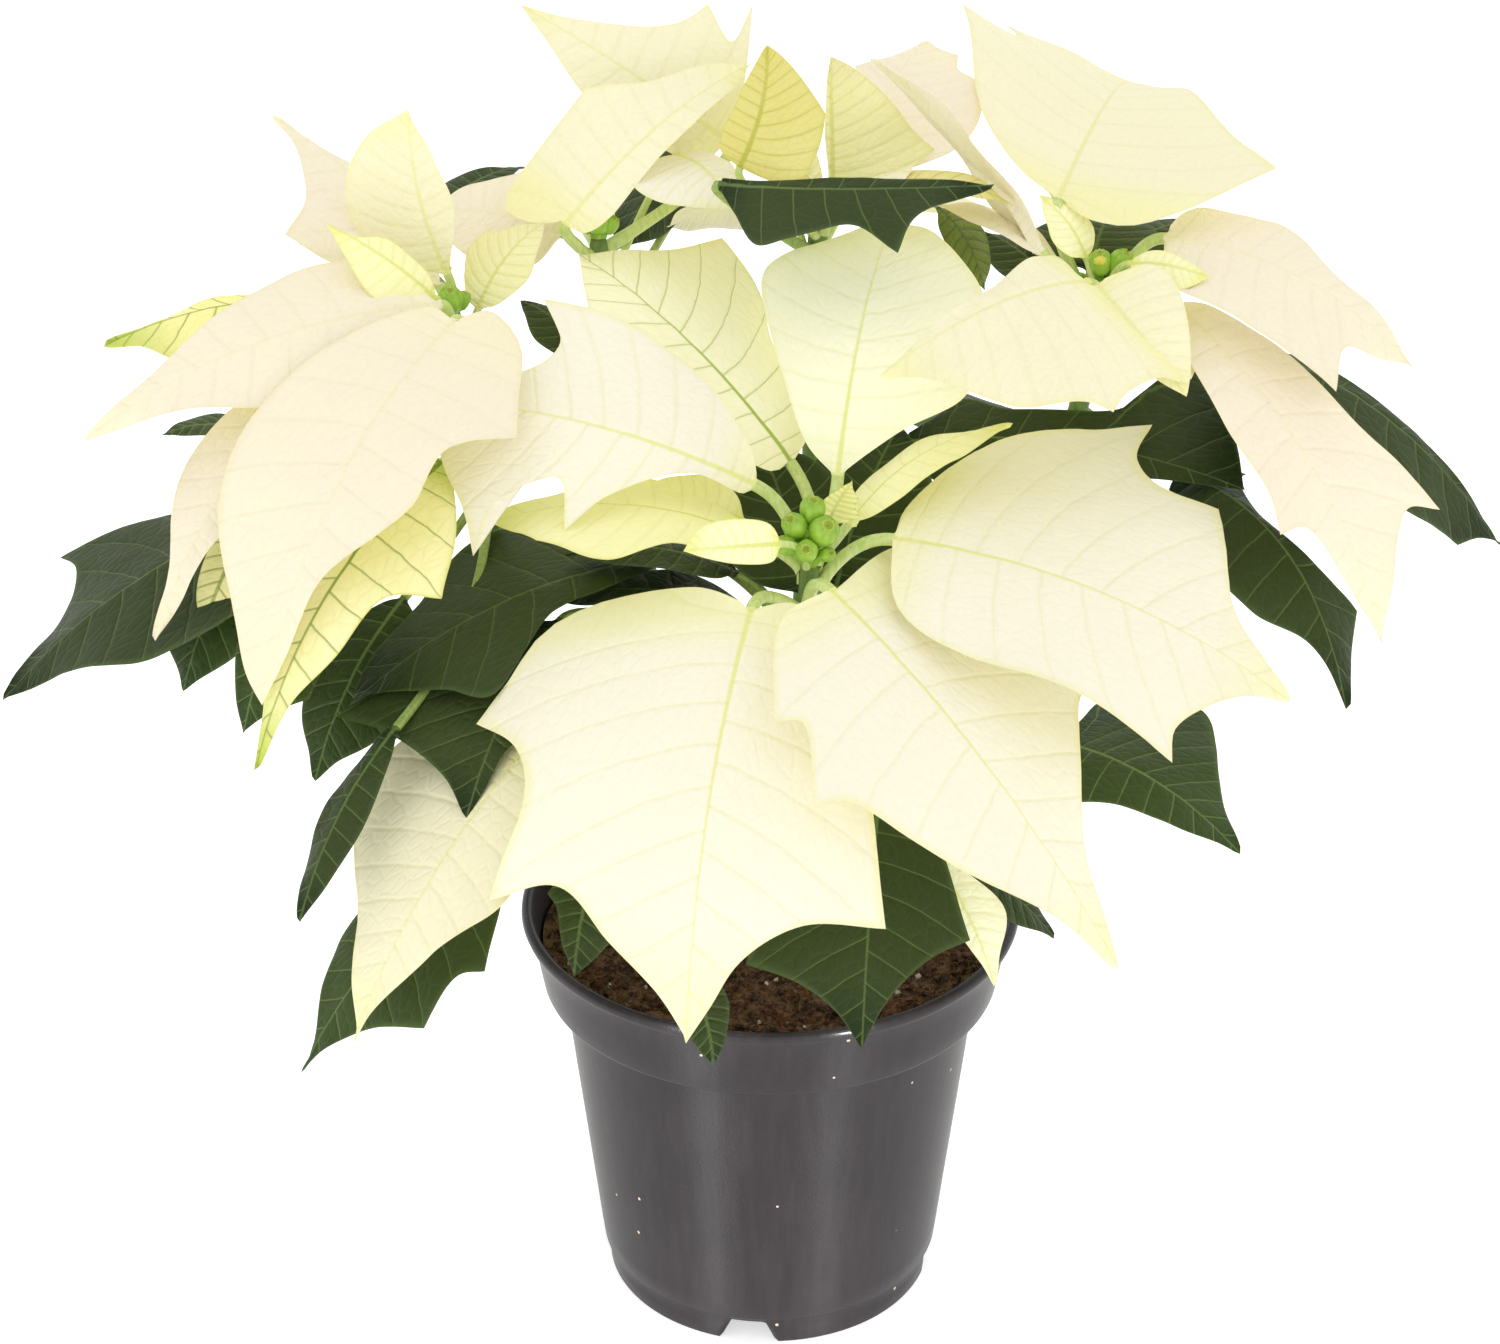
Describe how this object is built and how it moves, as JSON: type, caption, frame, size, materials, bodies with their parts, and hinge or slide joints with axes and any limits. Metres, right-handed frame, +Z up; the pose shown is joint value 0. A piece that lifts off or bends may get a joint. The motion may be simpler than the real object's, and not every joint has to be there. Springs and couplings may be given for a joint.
{
  "type": "potted poinsettia",
  "caption": "Flowering pot plant with broad cream-white toothed bracts over dark green leaves, rooted in peat in a tapered black nursery pot.",
  "frame": {"origin": "centre of the pot's foot, on the surface that it stands on", "axes": "+Z up along the pot's axis, -Y towards the plant's front, +X to its right as seen from the front"},
  "size_m": [0.382, 0.281, 0.3211],
  "materials": {
    "pot": "thin moulded polypropylene, satin black",
    "soil": null,
    "stem": "smooth pale green stem",
    "cyathia": "fleshy bright green buds",
    "bract": "soft matt cream-white bract with pale green-yellow veins",
    "bract_young": "soft matt lemon-yellow young bract",
    "bract_veined": "soft yellow-green bract with a green vein network",
    "leaf": "dark green leaf with a slight gloss and paler veins"
  },
  "bodies": {
    "root": {"pot": "pot", "soil": "soil", "main_stem": "stem", "stem_a": "stem", "stem_b": "stem", "stem_c": "stem", "stem_d": "stem", "stem_e": "stem", "cyathia_a": "cyathia", "cyathia_b": "cyathia", "cyathia_c": "cyathia", "cyathia_d": "cyathia", "cyathia_e": "cyathia", "bract_a1": "bract", "bract_a2": "bract", "bract_a3": "bract", "bract_a4": "bract_young", "bract_a5": "bract", "bract_a6": "bract_veined", "bract_a7": "bract", "bract_a8": "bract_young", "bract_b1": "bract", "bract_b2": "bract", "bract_b3": "bract", "bract_b4": "bract_young", "bract_b6": "bract", "bract_b7": "bract_veined", "bract_b8": "bract_veined", "bract_c1": "bract", "bract_c2": "bract", "bract_c3": "bract", "bract_c4": "bract", "bract_d1": "bract_veined", "bract_d3": "bract_young", "bract_d4": "bract", "bract_d5": "bract", "bract_e1": "bract", "bract_e2": "bract", "bract_e3": "bract", "bract_e4": "bract", "bract_rear_c": "bract", "bract_rear_d": "bract", "bract_w1": "bract", "leaf_b1": "leaf", "leaf_c1": "leaf", "leaf_d1": "leaf", "leaf_f1": "leaf", "leaf_l1": "leaf", "leaf_l2": "leaf", "leaf_l3": "leaf", "leaf_l4": "leaf", "leaf_l6": "leaf", "leaf_l7": "leaf", "leaf_r1": "leaf", "leaf_r2": "leaf", "leaf_r3": "leaf", "leaf_r4": "leaf", "leaf_rear_1": "leaf", "leaf_rear_2": "leaf", "leaf_rear_3": "leaf"}
  },
  "joints": []
}
